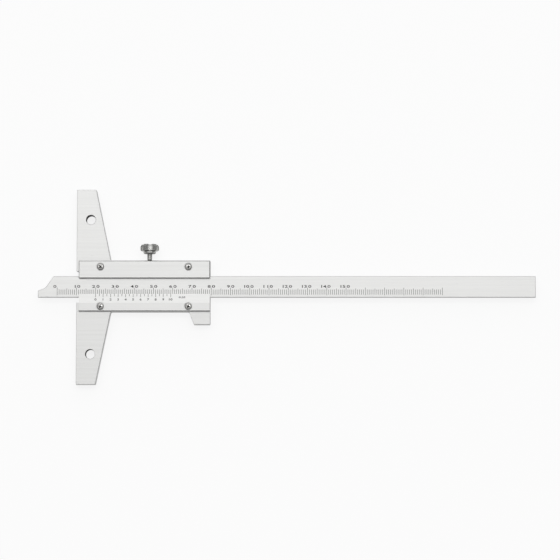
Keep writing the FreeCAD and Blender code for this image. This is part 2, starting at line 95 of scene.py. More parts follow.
@dataclass
class Workpiece:
    """A mesh on the bench, shaped with Blender's modelling operators.

    Attributes:
        part: The mesh object, which stands at the origin with its place in its mesh.
    """

    part: bpy.types.Object

    @classmethod
    def take_up(cls, name: str) -> Workpiece:
        """Name the object that was just added and put its place into its mesh.

        Args:
            name: The piece's name.

        Returns:
            The workpiece around the active object.
        """
        part = bpy.context.object
        part.name = name
        part.data.name = name
        bpy.ops.object.transform_apply(location=True, rotation=True, scale=True)
        return cls(part)

    @classmethod
    def block(cls, name: str, low: Vector, high: Vector) -> Workpiece:
        """Start from a block between two corners.

        Args:
            name: The piece's name.
            low: The lowest corner.
            high: The highest corner.

        Returns:
            The block.
        """
        deselect_all()
        bpy.ops.mesh.primitive_cube_add(size=1, location=(low + high) / 2, scale=high - low)
        return cls.take_up(name)

    @classmethod
    def turned(cls, name: str, rings: Sequence[tuple[float, float]], sides: int) -> Workpiece:
        """Turn a solid about the Z axis: a disc whose rim is drawn out from ring to ring.

        Args:
            name: The piece's name.
            rings: The radius and height of each ring, from the foot to the top.
            sides: How many flats go round.

        Returns:
            The closed solid.
        """
        radius, height = rings[0]
        deselect_all()
        bpy.ops.mesh.primitive_circle_add(
            vertices=sides, radius=radius, fill_type="NGON", location=(0, 0, height)
        )
        piece = cls.take_up(name)
        with piece.editing():
            bpy.ops.mesh.select_mode(type="EDGE")
            bpy.ops.mesh.select_all(action="SELECT")
            bpy.ops.mesh.region_to_loop()
            for next_radius, next_height in rings[1:]:
                bpy.ops.mesh.extrude_edges_move(
                    TRANSFORM_OT_translate={"value": (0, 0, next_height - height)}
                )
                ratio = next_radius / radius
                bpy.ops.transform.resize(value=(ratio, ratio, 1), center_override=(0, 0, next_height))
                radius, height = next_radius, next_height
            bpy.ops.mesh.edge_face_add()
        piece.point_outwards()
        return piece

    @classmethod
    def threaded(cls, name: str, thread: Thread, low: float, high: float) -> Workpiece:
        """Run one turn's profile along a helix about the Z axis and close both ends.

        Args:
            name: The piece's name.
            thread: The thread's sizes.
            low: The height of the rod's lower end.
            high: The height of its upper end.

        Returns:
            The closed rod.
        """
        start = low - thread.START_DROP * thread.pitch
        deselect_all()
        bpy.ops.mesh.primitive_plane_add(size=thread.pitch)
        piece = cls.take_up(name)
        with piece.editing():
            bpy.ops.mesh.select_all(action="SELECT")
            bpy.ops.mesh.merge(type="CENTER")
            bpy.ops.transform.translate(value=(thread.root_radius, 0, start))
            for outward, upward in thread.profile_steps():
                bpy.ops.mesh.extrude_vertices_move(TRANSFORM_OT_translate={"value": (outward, 0, upward)})
        helix = piece.part.modifiers.new("Helix", "SCREW")
        helix.screw_offset = thread.pitch
        helix.iterations = math.ceil((high - low) / thread.pitch) + thread.SPARE_TURNS
        helix.steps = helix.render_steps = thread.steps
        piece.apply(helix)
        with piece.editing():
            bpy.ops.mesh.select_all(action="SELECT")
            bpy.ops.mesh.remove_doubles(threshold=thread.pitch * thread.CLOSE_RATIO)
            for height, upwards in ((low, -1), (high, 1)):
                bpy.ops.mesh.select_all(action="SELECT")
                bpy.ops.mesh.bisect(
                    plane_co=(0, 0, height),
                    plane_no=(0, 0, upwards),
                    use_fill=True,
                    clear_outer=True,
                    threshold=thread.pitch * thread.CLOSE_RATIO,
                )
        piece.point_outwards()
        return piece

    @classmethod
    def pointed_rod(cls, thread: Thread, foot: float, top: float, sides: int) -> Workpiece:
        """Thread a rod about the Z axis and chamfer its foot.

        Args:
            thread: The thread's sizes.
            foot: The height of the chamfered end.
            top: The height of the other end.
            sides: How many flats go round the chamfer.

        Returns:
            The closed rod.
        """
        rod = cls.threaded("rod", thread, foot - thread.pitch, top)
        blank_radius = thread.radius * thread.BLANK_RATIO
        blank = cls.turned(
            "blank",
            [
                (thread.root_radius * thread.POINT_RATIO, foot),
                (blank_radius, foot + thread.point_length),
                (blank_radius, top + thread.pitch),
            ],
            sides,
        )
        rod.combine(blank, Join.KEEP_COMMON)
        return rod

    @classmethod
    def numeral(cls, name: str, text: str, style: Numeral) -> Workpiece:
        """Make a number as a thin solid, lying in z = 0 and centred on the origin.

        Args:
            name: The piece's name.
            text: The figures.
            style: Their height, width and stroke.

        Returns:
            The number's mesh.
        """
        deselect_all()
        bpy.ops.object.text_add()
        letters = bpy.context.object.data
        letters.body = text
        letters.align_x = "CENTER"
        letters.offset = style.stroke_offset
        letters.extrude = style.font_thickness
        letters.resolution_u = style.curve_steps
        bpy.ops.object.convert(target="MESH")
        piece = cls.take_up(name)
        low, high = piece.corners()
        with piece.editing():
            bpy.ops.mesh.select_all(action="SELECT")
            bpy.ops.mesh.remove_doubles(threshold=style.font_thickness * style.CLOSE_RATIO)
            bpy.ops.transform.translate(value=-(low + high) / 2)
            across = style.height / (high.y - low.y)
            bpy.ops.transform.resize(
                value=(across * style.widening, across, style.fill_height / (high.z - low.z)),
                center_override=(0, 0, 0),
            )
        piece.point_outwards()
        return piece

    def activate(self) -> None:
        """Make this the only selected and the active object."""
        deselect_all()
        self.part.select_set(True)
        bpy.context.view_layer.objects.active = self.part

    @contextmanager
    def editing(self) -> Iterator[None]:
        """Keep the piece in edit mode, with nothing selected at the start."""
        self.activate()
        bpy.ops.object.mode_set(mode="EDIT")
        bpy.ops.mesh.select_mode(type="VERT")
        bpy.ops.mesh.select_all(action="DESELECT")
        yield
        bpy.ops.object.mode_set(mode="OBJECT")

    def pick(self, element: Element, wanted: Callable[..., bool]) -> None:
        """Select the elements that a test wants, in edit mode.

        Args:
            element: The kind of element to look at.
            wanted: Whether an element of the mesh is to be selected.
        """
        bpy.ops.mesh.select_mode(type=element.value)
        bpy.ops.mesh.select_all(action="DESELECT")
        mesh = bmesh.from_edit_mesh(self.part.data)
        for item in mesh.edges if element is Element.EDGE else mesh.faces:
            if wanted(item):
                item.select_set(True)
        bmesh.update_edit_mesh(self.part.data)

    def corners(self) -> tuple[Vector, Vector]:
        """Give the mesh's lowest and highest corner."""
        points = [vertex.co for vertex in self.part.data.vertices]
        low = Vector(min(point[axis] for point in points) for axis in range(3))
        high = Vector(max(point[axis] for point in points) for axis in range(3))
        return low, high

    def apply(self, modifier: bpy.types.Modifier) -> None:
        """Apply one of the piece's modifiers."""
        self.activate()
        bpy.ops.object.modifier_apply(modifier=modifier.name)

    def repeat(self, count: int, step: float) -> None:
        """Repeat the piece along X.

        Args:
            count: How many copies there are in all.
            step: The distance from one to the next.
        """
        row = self.part.modifiers.new("Row", "ARRAY")
        row.count = count
        row.use_relative_offset = False
        row.use_constant_offset = True
        row.constant_offset_displace = (step, 0, 0)
        self.apply(row)

    def combine(self, other: Workpiece, how: Join) -> None:
        """Combine the piece with another closed mesh, which is used up.

        Args:
            other: The other piece.
            how: Whether the other is cut away, united, or only the common part is kept.
        """
        meeting = self.part.modifiers.new("Meeting", "BOOLEAN")
        meeting.operation = how.value
        meeting.object = other.part
        meeting.solver = "EXACT"
        self.apply(meeting)
        bpy.data.objects.remove(other.part)

    @staticmethod
    def gathered(name: str, pieces: Sequence[Workpiece]) -> Workpiece:
        """Join the pieces' meshes into the first one and name it."""
        first, *others = pieces
        first.activate()
        for other in others:
            other.part.select_set(True)
        bpy.ops.object.join()
        first.part.name = name
        return first

    def copy(self, name: str) -> Workpiece:
        """Give a copy of the piece with a mesh of its own."""
        twin = self.part.copy()
        twin.data = self.part.data.copy()
        twin.name = name
        twin.data.name = name
        bpy.context.scene.collection.objects.link(twin)
        return Workpiece(twin)

    def place(self, pose: Matrix) -> Workpiece:
        """Move the piece and put its place into its mesh.

        Args:
            pose: The turn and the shift.

        Returns:
            The same piece.
        """
        self.activate()
        self.part.matrix_world = pose
        bpy.ops.object.transform_apply(location=True, rotation=True, scale=True)
        return self

    def point_outwards(self) -> None:
        """Make every face point out of the solid."""
        with self.editing():
            bpy.ops.mesh.select_all(action="SELECT")
            bpy.ops.mesh.normals_make_consistent(inside=False)

    def smooth(self, angle: float) -> None:
        """Shade the piece smooth, apart from edges sharper than the angle in degrees."""
        self.activate()
        bpy.ops.object.shade_smooth_by_angle(angle=math.radians(angle))

    def note_recess(self, depth: Callable[[Vector], float]) -> None:
        """Keep on each vertex how much painted shade it gets, for the finish to darken.

        Args:
            depth: The painted shade, from 0 on the open surface to 1 at the bottom of a recess, for a
                vertex's place.
        """
        layer = self.part.data.attributes.new(SHADE_ATTRIBUTE, "FLOAT", "POINT")
        layer.data.foreach_set("value", [depth(vertex.co) for vertex in self.part.data.vertices])

    def dress(self, material: bpy.types.Material) -> None:
        """Give the whole piece one material."""
        self.part.data.materials.clear()
        self.part.data.materials.append(material)

    def hand_over(self, body: str, slot: str = "", stands_for: str = "") -> None:
        """Let the finished piece move with a body of the gauge, and report it.

        Args:
            body: The body that it rides on.
            slot: The record's material slot, if it has one; not used.
            stands_for: The solid that it is shown instead of, if any.
        """
        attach(self.part, body)
        if stands_for:
            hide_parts(stands_for)
        log.info("%s: %d faces, on %s", self.part.name, len(self.part.data.polygons), body)


@dataclass(frozen=True)
class Thread:
    """A 60 degree metric thread.

    Attributes:
        radius: The radius over the crests.
        pitch: The rise of one turn.
        point_length: The length of the chamfer at the rod's end.
        steps: How many facets go round.
    """

    radius: float
    pitch: float
    point_length: float
    steps: int

    DEPTH_RATIO = 0.6134
    CREST_RATIO = 0.125
    ROOT_RATIO = 0.25
    BLANK_RATIO = 1.02
    POINT_RATIO = 0.9
    START_DROP = 1.3
    SPARE_TURNS = 3
    CLOSE_RATIO = 0.001

    @property
    def root_radius(self) -> float:
        """The radius at the bottom of the groove."""
        return self.radius - self.DEPTH_RATIO * self.pitch

    def profile_steps(self) -> list[tuple[float, float]]:
        """Give the outward and upward steps of one turn's profile, from the root on."""
        depth = self.radius - self.root_radius
        flank = self.pitch * (1 - self.CREST_RATIO - self.ROOT_RATIO) / 2
        return [
            (0, self.pitch * self.ROOT_RATIO),
            (depth, flank),
            (0, self.pitch * self.CREST_RATIO),
            (-depth, flank),
        ]


@dataclass(frozen=True)
class Numeral:
    """How the engraved numbers look.

    Attributes:
        height: The height of a figure.
        widening: How much wider a figure is than the plain font's.
        fill_height: The thickness of the paint that fills it.
        stroke_offset: How far the font's outline moves, on a letter size of 1.
        font_thickness: Half the thickness of the font's solid, on a letter size of 1.
        curve_steps: How finely the curves are cut.
    """

    height: float
    widening: float = 1.55
    fill_height: float = 0.03 * MM
    stroke_offset: float = 0.018
    font_thickness: float = 0.05
    curve_steps: int = 4

    CLOSE_RATIO = 0.001


class Value:
    """A number that varies over a surface. Arithmetic on it adds Math nodes."""

    def __init__(self, shader: Shader, socket: bpy.types.NodeSocket) -> None:
        """Hold an output socket of the shader's tree."""
        self.shader = shader
        self.socket = socket

    def _calculate(self, operation: str, first: Value | float, second: Value | float) -> Value:
        """Add one Math node."""
        return self.shader.node("ShaderNodeMath", {"operation": operation}, {0: first, 1: second})

    def __add__(self, other: Value | float) -> Value:
        """Add."""
        return self._calculate("ADD", self, other)

    __radd__ = __add__

    def __sub__(self, other: Value | float) -> Value:
        """Subtract."""
        return self._calculate("SUBTRACT", self, other)

    def __rsub__(self, other: Value | float) -> Value:
        """Subtract from the other."""
        return self._calculate("SUBTRACT", other, self)

    def __mul__(self, other: Value | float) -> Value:
        """Multiply."""
        return self._calculate("MULTIPLY", self, other)

    __rmul__ = __mul__

    def __abs__(self) -> Value:
        """Drop the sign."""
        return self._calculate("ABSOLUTE", self, 0.0)

    def ramp(self, start: float, end: float) -> Value:
        """Rise smoothly from 0 to 1 while the value goes from start to end."""
        return self.shader.node(
            "ShaderNodeMapRange",
            {"interpolation_type": "SMOOTHSTEP"},
            {"Value": self, "From Min": start, "From Max": end},
        )


class Shader:
    """The node tree of one material or of the world."""

    COLOUR_FACTOR, FIRST_COLOUR, SECOND_COLOUR, MIXED_COLOUR = 0, 6, 7, 2

    def __init__(self, owner: bpy.types.Material | bpy.types.World) -> None:
        """Start an empty tree in a new material or world."""
        owner.use_nodes = True
        self.owner = owner
        self.tree = owner.node_tree
        self.tree.nodes.clear()

    @classmethod
    def of_material(cls, name: str) -> Shader:
        """Start the tree of a new material."""
        return cls(bpy.data.materials.new(name))

    def node(
        self,
        kind: str,
        settings: dict[str, object] | None = None,
        sockets: dict[str | int, object] | None = None,
        output: int | str = 0,
    ) -> Value:
        """Add a node.

        Args:
            kind: The node's type.
            settings: Its properties, which are set first.
            sockets: The number, colour or value for each of its inputs.
            output: Which output is wanted.

        Returns:
            That output.
        """
        made = self.tree.nodes.new(kind)
        for name, setting in (settings or {}).items():
            setattr(made, name, setting)
        for key, given in (sockets or {}).items():
            if isinstance(given, Value):
                self.tree.links.new(given.socket, made.inputs[key])
            else:
                made.inputs[key].default_value = given
        return Value(self, made.outputs[output])

    def blend(self, factor: Value, first: object, second: object) -> Value:
        """Mix two colours.

        Args:
            factor: 0 for the first, 1 for the second.
            first: A colour or a colour value.
            second: The other one.

        Returns:
            The mixed colour.
        """
        return self.node(
            "ShaderNodeMix",
            {"data_type": "RGBA"},
            {self.COLOUR_FACTOR: factor, self.FIRST_COLOUR: first, self.SECOND_COLOUR: second},
            self.MIXED_COLOUR,
        )

    def place(self) -> Value:
        """Give the place on the object."""
        return self.node("ShaderNodeTexCoord", output="Object")

    def noise(self, scale: tuple[float, float, float], detail: float = 3.0) -> Value:
        """Give smooth noise from 0 to 1 over the place on the object.

        Args:
            scale: How many swings there are in a metre along X, Y and Z.
            detail: How many finer layers are added.

        Returns:
            The noise.
        """
        point = self.node("ShaderNodeMapping", sockets={"Vector": self.place(), "Scale": scale})
        return self.node("ShaderNodeTexNoise", sockets={"Vector": point, "Scale": 1.0, "Detail": detail})

    def part_of(self, vector: Value, axis: str) -> Value:
        """Give a vector's share along X, Y or Z."""
        return self.node("ShaderNodeSeparateXYZ", sockets={0: vector}, output=axis)

    def facing(self, axis: str) -> Value:
        """Give how far the surface faces along an axis, from -1 to 1."""
        return self.part_of(self.node("ShaderNodeTexCoord", output="Normal"), axis)

    def distance_in_plan(self, along: float, across: float) -> Value:
        """Give the distance in plan from the nearer of two spots, one on each side of the beam.

        Args:
            along: Their place along the beam.
            across: How far each stands from the beam's centreline.

        Returns:
            The distance in metres.
        """
        place = self.place()
        sides = abs(self.part_of(place, "Y"))
        folded = self.node("ShaderNodeCombineXYZ", sockets={"X": self.part_of(place, "X"), "Y": sides})
        return self.node(
            "ShaderNodeVectorMath", {"operation": "DISTANCE"}, {0: folded, 1: (along, across, 0)}, "Value"
        )

    def shade(self, tint: Value, tone: Value) -> Value:
        """Darken or lighten a colour by a factor."""
        return self.node("ShaderNodeVectorMath", {"operation": "SCALE"}, {0: tint, "Scale": tone})

    def bump(self, height: Value, depth: float) -> Value:
        """Turn a height from 0 to 1 into a surface normal, for a relief of that depth in metres."""
        return self.node("ShaderNodeBump", sockets={"Height": height, "Distance": depth, "Strength": 1.0})

    def finish(self, sockets: dict[str, object]) -> bpy.types.Material:
        """End the tree in one Principled surface.

        Args:
            sockets: The number, colour or value for each of its inputs.

        Returns:
            The material.
        """
        return self.close(self.node("ShaderNodeBsdfPrincipled", sockets=sockets))

    def close(self, surface: Value) -> bpy.types.Material | bpy.types.World:
        """Send a surface to the tree's output and give the material or world."""
        kind = "World" if isinstance(self.owner, bpy.types.World) else "Material"
        end = self.tree.nodes.new(f"ShaderNodeOutput{kind}")
        self.tree.links.new(surface.socket, end.inputs["Surface"])
        return self.owner


def colour(red: float, green: float, blue: float) -> tuple[float, float, float, float]:
    """Give an opaque colour."""
    return (red, green, blue, 1.0)


@dataclass(frozen=True)
class GroundSteel:
    """Steel with satin faces, ground edges and lapped measuring faces, all grained along the beam.

    Attributes:
        name: The material's name.
        face: The colour of the satin faces.
        edge: The colour of the ground side walls; on the plates it is nearly black, painted shade along
            their edges.
        roughness: The roughness of the satin faces.
        edge_roughness: The roughness of the ground edges.
        lapped_roughness: The roughness of the measuring faces.
        wear: How bright the broken corners are worn, from 0 to 1.
        grain_depth: The depth of the grain.
        holes: The place along the beam and to each side of it of a pair of holes, if it has any, whose
            walls are painted black as shade.
        hole_radius: How far the painted shade reaches from their centres.
    """

    name: str
    face: tuple[float, float, float, float]
    edge: tuple[float, float, float, float]
    roughness: float = 0.55
    edge_roughness: float = 0.36
    lapped_roughness: float = 0.18
    wear: float = 0.6
    grain_depth: float = 0.002 * MM
    holes: tuple[float, float] | None = None
    hole_radius: float = 2.6 * MM

    WORN_EDGE = colour(0.88, 0.88, 0.87)
    # Painted shade on the holes' walls: black, dull and not metallic.
    LAPPED = colour(0.82, 0.82, 0.81)
    BORED = colour(0.06, 0.06, 0.06)
    BORED_ROUGHNESS = 0.95
    HOLE_EDGE = 1.03

    FLAT_FACING = (0.82, 0.96)
    CORNER_FACING = (0.35, 0.6)
    LAPPED_FACING = (0.93, 0.98)
    HOLE_FACING = (0.2, 0.5)

    FINE_GRAIN = (70, 7000, 7000)
    BROAD_GRAIN = (7, 900, 900)
    CLOUDS = (28, 34, 34)
    SCUFFS = (210, 2300, 2300)
    SCUFF_RANGE = (0.7, 0.76)
    GRAIN_ROUGHNESS = 0.08
    PLAIN_TONE = 0.87
    FINE_GRAIN_TONE = 0.12
    BROAD_GRAIN_TONE = 0.1
    CLOUD_TONE = 0.04
    SCUFF_TONE = 0.05

    def tone(self, shader: Shader, fine_grain: Value) -> Value:
        """Give the uneven tone of the steel: its grain, its soft clouds and a few scuffs.

        Args:
            shader: The material's tree.
            fine_grain: The finest grain, from 0 to 1.

        Returns:
            A factor near 1.
        """
        grain = self.FINE_GRAIN_TONE * fine_grain + self.BROAD_GRAIN_TONE * shader.noise(self.BROAD_GRAIN)
        cloud = shader.noise(self.CLOUDS)
        scuff = shader.noise(self.SCUFFS, 1.0).ramp(*self.SCUFF_RANGE)
        return self.PLAIN_TONE + grain + self.CLOUD_TONE * cloud - self.SCUFF_TONE * scuff

    def bored(self, shader: Shader, outward: Value) -> Value:
        """Tell the walls of the holes, which are painted black as shade, from the rest.

        Args:
            shader: The material's tree.
            outward: How far the surface faces to the front or the back.

        Returns:
            1 on the holes' walls, 0 elsewhere.
        """
        distance = shader.distance_in_plan(*self.holes)
        near = 1 - distance.ramp(self.hole_radius, self.hole_radius * self.HOLE_EDGE)
        return near * (1 - outward.ramp(*self.HOLE_FACING))

    def build(self) -> bpy.types.Material:
        """Make the material."""
        shader = Shader.of_material(self.name)
        outward = abs(shader.facing("Z"))
        flat = outward.ramp(*self.FLAT_FACING)
        worn_corner = outward.ramp(*self.CORNER_FACING) * (1 - flat)
        lapped = (0 - shader.facing("X")).ramp(*self.LAPPED_FACING)
        fine_grain = shader.noise(self.FINE_GRAIN)
        # The side walls take the edge colour, which on the plates is painted shade.
        steel = shader.blend(flat, self.edge, self.face)
        steel = shader.blend(worn_corner * self.wear, steel, self.WORN_EDGE)
        steel = shader.blend(lapped, steel, self.LAPPED)
        rough = self.edge_roughness + (self.roughness - self.edge_roughness) * flat
        rough = rough + (self.lapped_roughness - self.edge_roughness) * lapped
        metallic: Value | float = 1.0
        # The holes' walls are painted black, dull and not metallic: painted shade inside the holes.
        if self.holes:
            bored = self.bored(shader, outward)
            steel = shader.blend(bored, steel, self.BORED)
            rough = rough + (self.BORED_ROUGHNESS - self.edge_roughness) * bored
            metallic = 1 - bored
        return shader.finish(
            {
                "Base Color": shader.shade(steel, self.tone(shader, fine_grain)),
                "Metallic": metallic,
                "Roughness": rough + self.GRAIN_ROUGHNESS * (fine_grain - 0.5),
                "Normal": shader.bump(fine_grain, self.grain_depth),
            }
        )


@dataclass(frozen=True)
class TurnedMetal:
    """Bright turned metal, darkened by painted shade in its recesses and grooves.

    Attributes:
        name: The material's name.
        bright: The colour of the open surface.
        dark: The painted shade's colour at the bottom of a recess.
        roughness: The roughness of the open surface.
        full_dirt: How deep in a recess, from 0 to 1, the painted shade is at its darkest.
        recess_roughness: How much rougher the bottom of a recess is.
        tarnish: How much the roughness varies in soft patches.
    """

    name: str
    bright: tuple[float, float, float, float]
    dark: tuple[float, float, float, float]
    roughness: float
    full_dirt: float = 1.0
    recess_roughness: float = 0.25
    tarnish: float = 0.06

    CLEAN = 0.05
    PATCHES = (420, 420, 420)
    PATCH_TONE = 0.1
    MARKS = (2600, 2600, 2600)
    MARK_DEPTH = 0.001 * MM

    def build(self) -> bpy.types.Material:
        """Make the material."""
        shader = Shader.of_material(self.name)
        recess = shader.node("ShaderNodeAttribute", {"attribute_name": SHADE_ATTRIBUTE}, output="Fac")
        patches = shader.noise(self.PATCHES) - 0.5
        marks = shader.noise(self.MARKS, 2.0)
        # Painted shade: the colour goes from bright to dark as the recess attribute rises.
        worn = shader.blend(recess.ramp(self.CLEAN, self.full_dirt), self.bright, self.dark)
        rough = self.roughness + self.tarnish * patches + self.recess_roughness * recess
        return shader.finish(
            {
                "Base Color": shader.shade(worn, 1 + self.PATCH_TONE * patches),
                "Metallic": 1.0,
                "Roughness": rough,
                "Normal": shader.bump(marks, self.MARK_DEPTH),
            }
        )


@dataclass(frozen=True)
class EngravingPaint:
    """Black paint in the engraved lines and numbers.

    Attributes:
        name: The material's name.
        tint: Its colour.
    """

    name: str
    tint: tuple[float, float, float, float]

    WEAR = (900, 900, 900)
    WEAR_RANGE = (0.55, 0.8)
    WORN = colour(0.07, 0.07, 0.07)
    ROUGHNESS = 0.5
    WORN_ROUGHNESS = 0.2

    def build(self) -> bpy.types.Material:
        """Make the material."""
        shader = Shader.of_material(self.name)
        wear = shader.noise(self.WEAR)
        worn = shader.blend(wear.ramp(*self.WEAR_RANGE), self.tint, self.WORN)
        return shader.finish({"Base Color": worn, "Roughness": self.ROUGHNESS + self.WORN_ROUGHNESS * wear})


class Finish(Enum):
    """The finishes of the gauge, each under the record's slot or its own name."""

    frame_steel = GroundSteel("frame_steel", colour(0.85, 0.85, 0.84), colour(0.72, 0.72, 0.71), 0.52)
    beam_steel = GroundSteel("beam_steel", colour(0.8, 0.8, 0.79), colour(0.6, 0.6, 0.59), 0.46)
    # Plates: nearly black side walls and dim worn corners, painted shade along the plates' edges.
    plate_steel = GroundSteel("plate_steel", colour(0.8, 0.8, 0.79), colour(0.1, 0.1, 0.1), 0.48, wear=0.25)
    # The screws and the knob are darkened by painted shade from their recess attribute.
    screw_steel = TurnedMetal(
        "screw_steel", colour(0.88, 0.87, 0.85), colour(0.012, 0.012, 0.012), 0.14, full_dirt=0.25
    )
    knob_steel = TurnedMetal(
        "knob_steel", colour(0.68, 0.68, 0.66), colour(0.05, 0.05, 0.05), 0.18, recess_roughness=0.5
    )
    spring_bronze = TurnedMetal("spring_bronze", colour(0.72, 0.5, 0.28), colour(0.2, 0.12, 0.06), 0.3)
    pad_brass = TurnedMetal("pad_brass", colour(0.8, 0.62, 0.32), colour(0.2, 0.14, 0.07), 0.28)
    engraving = EngravingPaint("engraving_paint", colour(0.02, 0.02, 0.02))


@dataclass(frozen=True)
class Engraver:
    """The cutter that engraves the lines, and the paint that fills them.

    Attributes:
        width: The width of a line.
        depth: How deep the paint reaches into the steel.
        proud: How far the paint stands out of it.
        end_round: How far a line's end is rounded, as a share of half its width.
    """

    width: float = 0.2 * MM
    depth: float = 0.02 * MM
    proud: float = 0.01 * MM
    end_round: float = 0.9

    def line(
        self, name: str, across: tuple[float, float], place: float, level: float, square_end: bool = False
    ) -> Workpiece:
        """Model one line, with its ends rounded as the cutter leaves them.

        Args:
            name: The line's name.
            across: Where it begins and ends across the beam.
            place: Its place along the beam.
            level: The height of the steel's face.
            square_end: Whether its upper end stays square, at a plate's edge.

        Returns:
            The line.
        """
        half = self.width / 2
        low, high = across
        bar = Workpiece.block(
            name,
            Vector((place - half, low, level - self.depth)),
            Vector((place + half, high, level + self.proud)),
        )

        def rounded(edge: bmesh.types.BMEdge) -> bool:
            """Tell whether an upright edge stands at a rounded end."""
            first, second = edge.verts
            upright = abs(first.co.z - second.co.z) > self.depth
            return upright and (not square_end or first.co.y < (low + high) / 2)

        with bar.editing():
            bar.pick(Element.EDGE, rounded)
            bpy.ops.mesh.bevel(offset=half * self.end_round, segments=1, affect="EDGES")
        return bar


@dataclass
class MainScale:
    """The millimetre scale engraved on the beam.

    Attributes:
        zero_from_tip: How far the zero line stands from the beam's measuring end.
        pitch: The distance between two lines.
        length: The length of the whole scale.
        last_number: The last number that is engraved.
        number_step: How many lines lie between two numbers.
        middle_step: How many lines lie between two longer lines.
        zero_place: Where the single 0 stands, from its line.
        figure_places: Where the last, the last but one and the first figure stand, from their line.
        slim_shift: How much nearer to the line a 1 stands as the last but one.
    """

    zero_from_tip: float = 10.0 * MM
    pitch: float = 1.0 * MM
    length: float = 200.0 * MM
    last_number: int = 150
    number_step: int = 10
    middle_step: int = 5
    engraver: Engraver = Engraver()
    short_line: tuple[float, float] = (-4.1 * MM, -1.4 * MM)
    middle_line: tuple[float, float] = (-4.1 * MM, -0.9 * MM)
    long_line: tuple[float, float] = (-4.45 * MM, -0.4 * MM)
    number_level: float = 0.17 * MM
    zero_place: float = -1.2 * MM
    figure_places: tuple[float, ...] = (1.17 * MM, -1.08 * MM, -2.65 * MM)
    slim_shift: float = 0.45 * MM
    figures: Numeral = Numeral(1.42 * MM, 1.72)

    @property
    def zero(self) -> float:
        """The place of the zero line along the beam."""
        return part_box("beam")[0].x + self.zero_from_tip

    @property
    def face(self) -> float:
        """The height of the beam's front face."""
        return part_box("beam")[1].z

    def lines(self) -> Workpiece:
        """Model all the lines of the scale as one piece."""
        middle_pitch = self.middle_step * self.pitch
        number_pitch = self.number_step * self.pitch
        middles = round(self.length / middle_pitch)
        numbers = round(self.length / number_pitch)
        line = self.engraver.line
        short = line("main_scale_lines", self.short_line, self.zero + self.pitch, self.face)
        short.repeat(self.middle_step - 1, self.pitch)
        short.repeat(middles, middle_pitch)
        middle = line("middle_lines", self.middle_line, self.zero + middle_pitch, self.face)
        middle.repeat(numbers, number_pitch)
        long = line("long_lines", self.long_line, self.zero, self.face)
        long.repeat(numbers + 1, number_pitch)
        return Workpiece.gathered("main_scale_lines", [short, middle, long])

    def figures_of(self, number: int) -> Iterator[tuple[str, float]]:
        """Give each figure of a number with its place from the number's line.

        Args:
            number: The number.

        Yields:
            The figure and its place.
        """
        if number == 0:
            yield "0", self.zero_place
            return
        for index, figure in enumerate(reversed(str(number))):
            slim = self.slim_shift if index == 1 and figure == "1" else 0.0
            yield figure, self.figure_places[index] + slim

    def numbers(self) -> Workpiece:
        """Model the numbers, whose line passes between their last two figures."""
        level = self.face + self.engraver.proud - self.figures.fill_height / 2
        made = []
        for number in range(0, self.last_number + 1, self.number_step):
            line = self.zero + number * self.pitch
            for figure, place in self.figures_of(number):
                digit = Workpiece.numeral(f"figure_{number}", figure, self.figures)
                made.append(digit.place(Matrix.Translation((line + place, self.number_level, level))))
        return Workpiece.gathered("main_scale_numbers", made)

    def build(self, finish: bpy.types.Material) -> None:
        """Model the scale and let it move with the beam.

        Args:
            finish: The paint in the lines.
        """
        for piece in (self.lines(), self.numbers()):
            piece.dress(finish)
            piece.hand_over("beam")


@dataclass
class VernierScale:
    """The vernier scale on the bevel of its plate: 20 divisions of 1.95 mm.

    Attributes:
        zero: The place of the zero line from the measuring face, as far as the beam's zero line is from its
            tip, so that the scale reads how far the tip stands out.
        edge_thickness: The thickness of the plate at the bevel's thin edge.
        bevel_width: The width of the bevel, seen from the front.
        pitch: The distance between two lines.
        divisions: How many divisions there are.
    """

    zero: float = 10.0 * MM
    edge_thickness: float = 0.3 * MM
    bevel_width: float = 4.8 * MM
    pitch: float = 1.95 * MM
    divisions: int = 20
    engraver: Engraver = Engraver()
    edge_gap: float = 0.04 * MM
    short_line: float = 1.3 * MM
    long_line: float = 1.85 * MM
    number_level: float = 3.1 * MM
    reading_place: float = 54.9 * MM
    reading_level: float = 1.9 * MM
    reading: str = "0.05"
    figures: Numeral = Numeral(1.2 * MM, 1.35)
    reading_figures: Numeral = Numeral(0.95 * MM, 1.6)

    def on_bevel(self) -> Matrix:
        """Give the pose that lays the z = 0 plane on the bevel, with y = 0 at its thin edge."""
        low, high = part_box("vernier_plate")
        edge = low.z + self.edge_thickness
        slope = math.atan2(high.z - edge, self.bevel_width)
        return Matrix.Translation((0, high.y, edge)) @ Matrix.Rotation(-slope, 4, "X")

    def row(self, name: str, length: float, first: int, step: int) -> Workpiece:
        """Model a row of equal lines, flat on z = 0.

        Args:
            name: The row's name.
            length: The length of its lines.
            first: The division at which it starts.
            step: How many divisions lie between two lines.

        Returns:
            The row.
        """
        across = (-self.edge_gap - length, -self.edge_gap)
        bar = self.engraver.line(name, across, self.zero + first * self.pitch, 0.0, square_end=True)
        bar.repeat((self.divisions - first) // step + 1, step * self.pitch)
        return bar

    def numbers(self) -> Workpiece:
        """Model the numbers 0 to 10 and the smallest reading, flat on z = 0."""
        level = self.engraver.proud - self.figures.fill_height / 2
        made = []
        for number in range(self.divisions // 2 + 1):
            digit = Workpiece.numeral(f"vernier_{number}", str(number), self.figures)
            place = self.zero + 2 * number * self.pitch
            made.append(digit.place(Matrix.Translation((place, -self.number_level, level))))
        reading = Workpiece.numeral("reading", self.reading, self.reading_figures)
        made.append(reading.place(Matrix.Translation((self.reading_place, -self.reading_level, level))))
        return Workpiece.gathered("vernier_scale_numbers", made)

    def build(self, finish: bpy.types.Material) -> None:
        """Model the scale on the bevel and let it move with the frame.

        Args:
            finish: The paint in the lines.
        """
        long = self.row("vernier_scale_lines", self.long_line, 0, 2)
        short = self.row("short_lines", self.short_line, 1, 2)
        for piece in (Workpiece.gathered("vernier_scale_lines", [long, short]), self.numbers()):
            piece.place(self.on_bevel())
            piece.dress(finish)
            piece.hand_over("frame")


